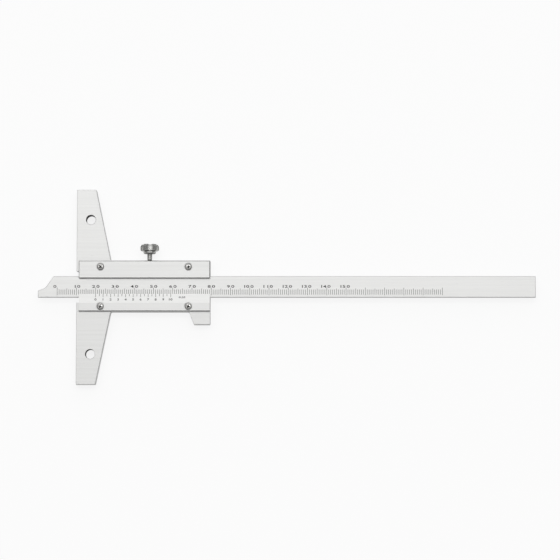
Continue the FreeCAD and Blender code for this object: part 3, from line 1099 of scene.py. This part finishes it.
@dataclass
class PlateScrew:
    """A pan-head screw with a cross recess, modelled with the seat of its head at z = 0.

    Attributes:
        head_radius: The radius of the head.
        head_height: The height of the head.
        length: The length under the head.
        thread: The screw's thread.
    """

    head_radius: float = 1.8 * MM
    head_height: float = 1.3 * MM
    shoulder_radius: float = 0.6 * MM
    shoulder_turn: float = 66.0
    dome: float = 0.32 * MM
    length: float = 5.0 * MM
    thread: Thread = Thread(1.0 * MM, 0.4 * MM, point_length=0.3 * MM, steps=16)
    neck: float = 0.25 * MM
    seat_break: float = 0.054 * MM
    recess_length: float = 2.2 * MM
    recess_width: float = 0.58 * MM
    recess_depth: float = 0.85 * MM
    recess_taper: tuple[float, float] = (0.45, 0.8)
    centre_radius: float = 0.52 * MM
    centre_foot_radius: float = 0.39 * MM
    centre_tip_radius: float = 0.104 * MM
    centre_tip_drop: float = 0.102 * MM
    centre_overshoot: float = 0.24 * MM
    centre_sides: int = 12
    # Painted shade all round the head's rounded shoulder.
    shoulder_dirt: float = 0.14
    overshoot: float = 0.3 * MM
    sides: int = 48
    round_steps: int = 6
    smooth_angle: float = 32.0

    DOME_RINGS = (0.75, 0.5, 0.25, 0.05)
    # The dome stays free of painted shade out to this share of its radius.
    CLEAN_DOME = 0.95

    @property
    def dome_radius(self) -> float:
        """The radius at which the domed top meets the rounded shoulder."""
        turn = math.radians(self.shoulder_turn)
        return self.head_radius - self.shoulder_radius * (1 - math.cos(turn))

    def dome_level(self, radius: float) -> float:
        """Give the height of the domed top at a distance from the axis."""
        return self.head_height - self.dome * (radius / self.dome_radius) ** 2

    def head_rings(self) -> list[tuple[float, float]]:
        """Give the head's rings, from its seat over the rounded shoulder to its domed top."""
        centre = self.head_radius - self.shoulder_radius
        last_turn = math.radians(self.shoulder_turn)
        level = self.dome_level(self.dome_radius) - self.shoulder_radius * math.sin(last_turn)
        rings = [(self.head_radius - self.seat_break, 0.0), (self.head_radius, self.seat_break)]
        for step in range(self.round_steps + 1):
            turn = last_turn * step / self.round_steps
            rings.append(
                (
                    centre + self.shoulder_radius * math.cos(turn),
                    level + self.shoulder_radius * math.sin(turn),
                )
            )
        for share in self.DOME_RINGS:
            radius = self.dome_radius * share
            rings.append((radius, self.dome_level(radius)))
        return rings

    def dirt(self, point: Vector) -> float:
        """Give a point's painted shade: 0 on the dome and the shank, a little on the rounded shoulder, up
        to 1 at the bottom of the cross recess.
        """
        radius = point.xy.length
        if point.z < self.neck / 2:
            return 0.0
        if radius > self.dome_radius * self.CLEAN_DOME:
            return self.shoulder_dirt
        if radius > self.recess_length / 2:
            return 0.0
        return max(0.0, min(1.0, (self.dome_level(radius) - point.z) / self.recess_depth))

    def recess(self) -> Workpiece:
        """Model the driver's cross, whose four wings narrow downwards."""
        half_length, half_width = self.recess_length / 2, self.recess_width / 2
        bottom = self.head_height - self.recess_depth
        top = self.head_height + self.overshoot
        wings = []
        for turn in (0, 90):
            wing = Workpiece.block(
                "wing", Vector((-half_length, -half_width, bottom)), Vector((half_length, half_width, top))
            )
            with wing.editing():
                wing.pick(Element.FACE, lambda face: face.normal.z < -0.5)
                bpy.ops.transform.resize(value=(*self.recess_taper, 1), center_override=(0, 0, bottom))
            wings.append(wing.place(Matrix.Rotation(math.radians(turn), 4, "Z")))
        centre = Workpiece.turned(
            "centre",
            [
                (self.centre_tip_radius, bottom - self.centre_tip_drop),
                (self.centre_foot_radius, bottom),
                (self.centre_radius, self.head_height + self.centre_overshoot),
            ],
            self.centre_sides,
        )
        cross, other = wings
        cross.combine(other, Join.UNITE)
        cross.combine(centre, Join.UNITE)
        return cross

    def model(self) -> Workpiece:
        """Model the whole screw."""
        screw = Workpiece.turned("plate_screw", self.head_rings(), self.sides)
        screw.combine(self.recess(), Join.CUT)
        rod = Workpiece.pointed_rod(self.thread, -self.length, -self.neck, self.sides)
        neck = Workpiece.turned(
            "neck",
            [
                (self.thread.root_radius, -self.neck - self.thread.pitch / 2),
                (self.thread.root_radius, self.neck / 2),
            ],
            self.sides,
        )
        rod.combine(neck, Join.UNITE)
        screw.combine(rod, Join.UNITE)
        screw.note_recess(self.dirt)
        screw.smooth(self.smooth_angle)
        return screw

    def build(self, nodes: dict[str, float], finish: bpy.types.Material) -> None:
        """Put a copy of the screw in the place of each plate screw.

        Args:
            nodes: The turn of each screw's recess in degrees, by the name of its solid.
            finish: The screws' metal.
        """
        model = self.model()
        for node, turn in nodes.items():
            low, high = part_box(node)
            seat = Vector(((low.x + high.x) / 2, (low.y + high.y) / 2, high.z - self.head_height))
            screw = model.copy(f"{node}_dressed")
            screw.place(Matrix.Translation(seat) @ Matrix.Rotation(math.radians(turn), 4, "Z"))
            screw.dress(finish)
            screw.hand_over("frame", "screw_steel", node)
        bpy.data.objects.remove(model.part)


@dataclass
class ClampScrew:
    """The clamp screw: a threaded stem, a boss and a dished, knurled head with finger scallops.

    It is modelled upright with the foot of its boss at z = 0 and its axis on Z.

    Attributes:
        thread: The stem's thread.
        shank_length: The length of the plain part of the stem.
        boss_radius: The radius of the boss.
        groove_radius: The radius at the bottom of the groove between boss and head.
        head_radius: The radius over the knurl.
        turn_at_rest: The head's turn about its own axis, in degrees.
    """

    thread: Thread = Thread(1.25 * MM, 0.45 * MM, point_length=0.35 * MM, steps=20)
    shank_length: float = 3.2 * MM
    boss_radius: float = 3.3 * MM
    boss_height: float = 1.45 * MM
    boss_bevel: float = 0.45 * MM
    groove_radius: float = 2.8 * MM
    groove_width: float = 0.45 * MM
    head_radius: float = 4.9 * MM
    head_height: float = 3.4 * MM
    foot_bevel: float = 0.5 * MM
    top_bevel: float = 0.8 * MM
    top_bevel_drop: float = 1.0 * MM
    rim_width: float = 1.5 * MM
    dish_depth: float = 0.8 * MM
    dish_floor_width: float = 0.75 * MM
    knurl_columns: int = 60
    knurl_rows: int = 5
    knurl_depth: float = 0.13 * MM
    # Painted shade levels: satin sets the knurl's crests, which are rougher and carry a little painted
    # shade; the others darken the valleys, scallops, stem and boss foot.
    satin: float = 0.22
    knurl_dirt: float = 0.55
    scallop_dirt: float = 0.48
    stem_dirt: float = 0.35
    foot_dirt: float = 0.55
    lobes: int = 5
    scallop_radius: float = 3.0 * MM
    scallop_depth: float = 1.3 * MM
    overshoot: float = 0.3 * MM
    turn_at_rest: float = -13.0
    sides: int = 48
    scallop_sides: int = 72
    smooth_angle: float = 25.0

    ON_KNURL = 0.99

    @property
    def stem_length(self) -> float:
        """The length of the stem under the boss."""
        low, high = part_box("clamp_screw")
        return high.y - low.y - self.head_height - self.boss_height

    @property
    def groove_foot(self) -> float:
        """The height at which the groove under the head begins."""
        return self.boss_height - self.groove_width

    @property
    def knurl_foot(self) -> float:
        """The height at which the knurl begins."""
        return self.boss_height + self.foot_bevel

    @property
    def knurl_top(self) -> float:
        """The height at which the knurl ends."""
        return self.boss_height + self.head_height - self.top_bevel_drop

    @property
    def blank_radius(self) -> float:
        """The radius of the head before it is knurled."""
        return self.head_radius - self.knurl_depth

    def on_knurl(self, point: Vector) -> bool:
        """Tell whether a point lies on the head's side, between its two bevels."""
        outside = point.xy.length > self.blank_radius * self.ON_KNURL
        return outside and self.knurl_foot < point.z < self.knurl_top

    def dirt(self, point: Vector) -> float:
        """Give a point's painted shade: some on the stem, the boss's foot and the scallops, more in the
        knurl's valleys, 1 in the groove under the head and 0 where it is polished.
        """
        radius = point.xy.length
        edge_gap = self.groove_width / 10
        if point.z < -edge_gap:
            return self.stem_dirt
        if point.z < self.groove_foot - edge_gap:
            return self.foot_dirt if point.z < edge_gap else 0.0
        if self.on_knurl(point):
            depth = (self.head_radius - radius) / self.knurl_depth
            return self.satin + (self.knurl_dirt - self.satin) * max(0.0, min(1.0, depth))
        if point.z < self.boss_height + edge_gap:
            return float(radius < self.boss_radius - edge_gap)
        return self.scallop_dirt

    def boss(self) -> Workpiece:
        """Model the plain shank and the bevelled boss, with a groove under the head."""
        shank_break = self.thread.radius - self.thread.root_radius
        return Workpiece.turned(
            "boss",
            [
                (self.thread.root_radius, -self.shank_length),
                (self.thread.radius, shank_break - self.shank_length),
                (self.thread.radius, 0.0),
                (self.boss_radius - self.boss_bevel, 0.0),
                (self.boss_radius, self.boss_bevel),
                (self.boss_radius, self.groove_foot),
                (self.groove_radius, self.groove_foot),
                (self.groove_radius, self.boss_height + self.overshoot),
            ],
            self.sides,
        )

    def knurled_head(self) -> Workpiece:
        """Model the head as a turned blank whose side is pressed into a diamond knurl."""
        top = self.boss_height + self.head_height
        row = (self.knurl_top - self.knurl_foot) / self.knurl_rows
        rim = self.head_radius - self.top_bevel
        rings = [(self.head_radius - self.foot_bevel, self.boss_height)]
        for index in range(self.knurl_rows + 1):
            rings.append((self.blank_radius, self.knurl_foot + row * index))
        dish_radius = rim - self.rim_width
        rings += [
            (rim, top),
            (dish_radius, top - self.dish_depth),
            (dish_radius - self.dish_floor_width, top - self.dish_depth),
        ]
        head = Workpiece.turned("head", rings, self.knurl_columns)
        edge_gap = row / 100
        grid_radius = self.blank_radius * (1 + math.cos(math.pi / self.knurl_columns)) / 2

        def on_grid(edge: bmesh.types.BMEdge) -> bool:
            """Tell whether an edge is one of the first grid's, away from the bevels."""
            middle = (edge.verts[0].co + edge.verts[1].co) / 2
            inside = self.knurl_foot + edge_gap < middle.z < self.knurl_top - edge_gap
            return inside and all(vertex.co.xy.length > grid_radius for vertex in edge.verts)

        with head.editing():
            head.pick(Element.FACE, lambda face: self.on_knurl(face.calc_center_median()))
            bpy.ops.mesh.poke(offset=0.0)
            head.pick(Element.EDGE, on_grid)
            bpy.ops.mesh.dissolve_edges(use_verts=False)
            head.pick(
                Element.FACE,
                lambda face: self.on_knurl(face.calc_center_median()) and len(face.verts) == 4,
            )
            bpy.ops.mesh.poke(offset=self.knurl_depth)
        return head

    def scallops(self) -> Workpiece:
        """Model the round cutters that leave the finger scallops."""
        cutters = []
        for index in range(self.lobes):
            cutter = Workpiece.turned(
                "cutter",
                [
                    (self.scallop_radius, self.boss_height - self.overshoot),
                    (self.scallop_radius, self.boss_height + self.head_height + self.overshoot),
                ],
                self.scallop_sides,
            )
            turn = Matrix.Rotation(math.tau * index / self.lobes, 4, "Z")
            distance = self.head_radius - self.scallop_depth + self.scallop_radius
            cutters.append(cutter.place(turn @ Matrix.Translation((distance, 0, 0))))
        return Workpiece.gathered("cutter", cutters)

    def build(self, finish: bpy.types.Material) -> None:
        """Model the clamp screw and put it in the place of its solid.

        Args:
            finish: The screw's metal.
        """
        screw = self.knurled_head()
        screw.combine(self.scallops(), Join.CUT)
        boss = self.boss()
        thread_top = self.thread.pitch / 2 - self.shank_length
        boss.combine(
            Workpiece.pointed_rod(self.thread, -self.stem_length, thread_top, self.sides), Join.UNITE
        )
        screw.combine(boss, Join.UNITE)
        screw.note_recess(self.dirt)
        screw.smooth(self.smooth_angle)
        pad_low, pad_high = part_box("clamp_pad")
        foot = (pad_low + pad_high) / 2
        foot.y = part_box("clamp_screw")[1].y - self.head_height - self.boss_height
        turn = Matrix.Rotation(math.radians(self.turn_at_rest), 4, "Z")
        upright_to_side = Matrix.Rotation(math.radians(-90), 4, "X")
        screw.place(Matrix.Translation(foot) @ upright_to_side @ turn)
        screw.part.name = "clamp_screw_dressed"
        screw.dress(finish)
        screw.hand_over("clamp_screw", "knob_steel", "clamp_screw")


@dataclass
class Studio:
    """The pale floor, the soft lamp and the camera above the gauge.

    Attributes:
        middle: The point in the middle of the picture, along and across the beam.
        distance: The distance from the camera to it.
        tilt: How far the camera leans towards the lower edge of the picture, in degrees.
        picture_width: The width that the picture shows at the target.
        floor_glow: The floor's own light as the camera sees it.
        reflected_glow: The floor's own light as it is mirrored in the steel.
        lamp_tilt: How far the lamp hangs towards the upper edge of the picture, in degrees.
        near_level: The room's light towards the lower edge of the picture.
        room_level: The room's light overhead.
        far_level: The room's light towards the upper edge of the picture.
        side_shade: How much darker the room is at both ends of the beam.
    """

    middle: tuple[float, float] = (105.7 * MM, 3.53 * MM)
    distance: float = 1.25
    tilt: float = 5.3
    picture_width: float = 290.9 * MM
    sensor_width: float = 36.0
    floor_gap: float = 0.02 * MM
    floor_radius: float = 9.0
    wall_height: float = 1.6
    floor_sides: int = 96
    floor_glow: float = 0.84
    reflected_glow: float = 0.36
    lamp_distance: float = 2.2
    lamp_tilt: float = 18.5
    lamp_size: tuple[float, float] = (2.4, 0.5)
    lamp_power: float = 11.6
    near_level: float = 0.27
    room_level: float = 0.54
    far_level: float = 1.0
    side_shade: float = 0.55
    nearest: float = 0.01

    WALL_RINGS = ((1.04, 0.1), (1.05, 1.0))
    FLOOR_TINT = colour(0.4, 0.4, 0.4)
    SEEN_FLOOR_TINT = colour(0.2, 0.2, 0.2)
    NEAR_RANGE = (-0.65, -0.05)
    FAR_RANGE = (0.55, 0.9)
    SIDE_RANGE = (0.55, 0.95)

    @property
    def target(self) -> Vector:
        """The point in the middle of the picture, on the beam's front face."""
        return Vector((*self.middle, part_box("beam")[1].z))

    def floor_finish(self) -> bpy.types.Material:
        """Make a pale floor that looks nearly white and keeps the gauge's soft shadow."""
        shader = Shader.of_material("pale_floor")
        seen = shader.node("ShaderNodeLightPath", output="Is Camera Ray")
        mirrored = shader.node("ShaderNodeLightPath", output="Is Glossy Ray")
        passed = shader.node("ShaderNodeLightPath", output="Is Transmission Ray")
        tint = shader.blend(seen, self.FLOOR_TINT, self.SEEN_FLOOR_TINT)
        glow = self.floor_glow * seen + self.reflected_glow * (mirrored + passed)
        plain = shader.node("ShaderNodeBsdfDiffuse", sockets={"Color": tint})
        haze = shader.node("ShaderNodeEmission", sockets={"Strength": glow})
        return shader.close(shader.node("ShaderNodeAddShader", sockets={0: plain, 1: haze}))

    def lay_floor(self) -> None:
        """Lay the floor, which turns up into a low wall far away."""
        rings = [(self.floor_radius, 0.0)]
        for outward, upward in self.WALL_RINGS:
            rings.append((self.floor_radius * outward, self.wall_height * upward))
        floor = Workpiece.turned("floor", rings, self.floor_sides)
        with floor.editing():
            floor.pick(Element.FACE, lambda face: face.normal.z > 0.5)
            bpy.ops.mesh.delete(type="FACE")
            bpy.ops.mesh.select_all(action="SELECT")
            bpy.ops.mesh.flip_normals()
        floor.place(Matrix.Translation((self.target.x, 0, -self.floor_gap)))
        floor.dress(self.floor_finish())

    def hang_lamp(self) -> None:
        """Hang one wide soft lamp over the far side of the gauge."""
        lean = math.radians(self.lamp_tilt)
        offset = Vector((0, math.sin(lean), math.cos(lean))) * self.lamp_distance
        bpy.ops.object.light_add(type="AREA", location=self.target + offset)
        lamp = bpy.context.object
        lamp.name = "soft_lamp"
        lamp.rotation_euler = (-lean, 0, 0)
        lamp.data.shape = "RECTANGLE"
        lamp.data.size, lamp.data.size_y = self.lamp_size
        lamp.data.energy = self.lamp_power

    def light_room(self) -> None:
        """Fill the room with grey light, bright on the lamp's side and darker on the others.

        The camera sees it as plain white.
        """
        shader = Shader(bpy.data.worlds.new("studio"))
        direction = shader.node("ShaderNodeTexCoord", output="Generated")
        towards_lamp = shader.part_of(direction, "Y")
        overhead = towards_lamp.ramp(*self.NEAR_RANGE)
        far = towards_lamp.ramp(*self.FAR_RANGE)
        sideways = abs(shader.part_of(direction, "X")).ramp(*self.SIDE_RANGE)
        level = self.near_level + (self.room_level - self.near_level) * overhead
        level = level + (self.far_level - self.room_level) * far
        level = level * (1 - self.side_shade * sideways)
        seen = shader.node("ShaderNodeLightPath", output="Is Camera Ray")
        strength = level + seen * (1 - level)
        bpy.context.scene.world = shader.close(
            shader.node("ShaderNodeBackground", sockets={"Color": colour(1, 1, 1), "Strength": strength})
        )

    def set_camera(self) -> None:
        """Stand the camera over the gauge, a little towards the lower edge of the picture."""
        lean = math.radians(self.tilt)
        back = Vector((0, -math.sin(lean), math.cos(lean)))
        bpy.ops.object.camera_add(location=self.target + back * self.distance)
        camera = bpy.context.object
        camera.name = "camera"
        camera.rotation_mode = "QUATERNION"
        camera.rotation_quaternion = (-back).to_track_quat("-Z", "Y")
        camera.data.sensor_width = self.sensor_width
        camera.data.lens = self.distance * self.sensor_width / self.picture_width
        camera.data.clip_start = self.nearest
        bpy.context.scene.camera = camera

    def build(self) -> None:
        """Set up the whole studio."""
        self.set_camera()
        self.lay_floor()
        self.hang_lamp()
        self.light_room()
        bpy.context.scene.view_settings.view_transform = "Standard"


def dress_solids(frame: dict, finishes: dict[str, bpy.types.Material]) -> None:
    """Give every solid the finish of its slot in the record.

    Args:
        frame: The loaded frame.
        finishes: The materials by slot name.
    """
    for subpart in frame["record"]["subparts"]:
        node = frame["nodes"][subpart["node"]]
        finish = finishes[subpart["material_slot"]]
        if not node.material_slots:
            node.data.materials.append(finish)
        for slot in node.material_slots:
            slot.material = finish
        log.info("%s: %s", node.name, finish.name)


def extension_holes(frame: dict) -> tuple[float, float]:
    """Give the place of the base's two plain holes.

    Args:
        frame: The loaded frame.

    Returns:
        Their place along the beam, and how far each stands from its centreline.
    """
    pattern = next(mount for mount in frame["record"]["mounts"] if mount["name"] == "extension_holes")
    return pattern["pos_m"][0], pattern["dims"]["spacing_y_mm"] * MM / 2


def main() -> None:
    """Load the frame, dress it and set up the picture."""
    logging.basicConfig(level=logging.INFO, format="%(name)s: %(message)s")
    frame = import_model()

    finishes = {finish.name: finish.value.build() for finish in Finish if finish is not Finish.frame_steel}
    finishes["frame_steel"] = replace(Finish.frame_steel.value, holes=extension_holes(frame)).build()
    dress_solids(frame, finishes)

    MainScale().build(finishes["engraving"])
    VernierScale().build(finishes["engraving"])
    PlateScrew().build(
        {
            "cover_screw_front": 38.0,
            "cover_screw_rear": 12.0,
            "vernier_screw_front": -20.0,
            "vernier_screw_rear": 64.0,
        },
        finishes["screw_steel"],
    )
    ClampScrew().build(finishes["knob_steel"])
    Studio().build()


if __name__ == "__main__":
    main()
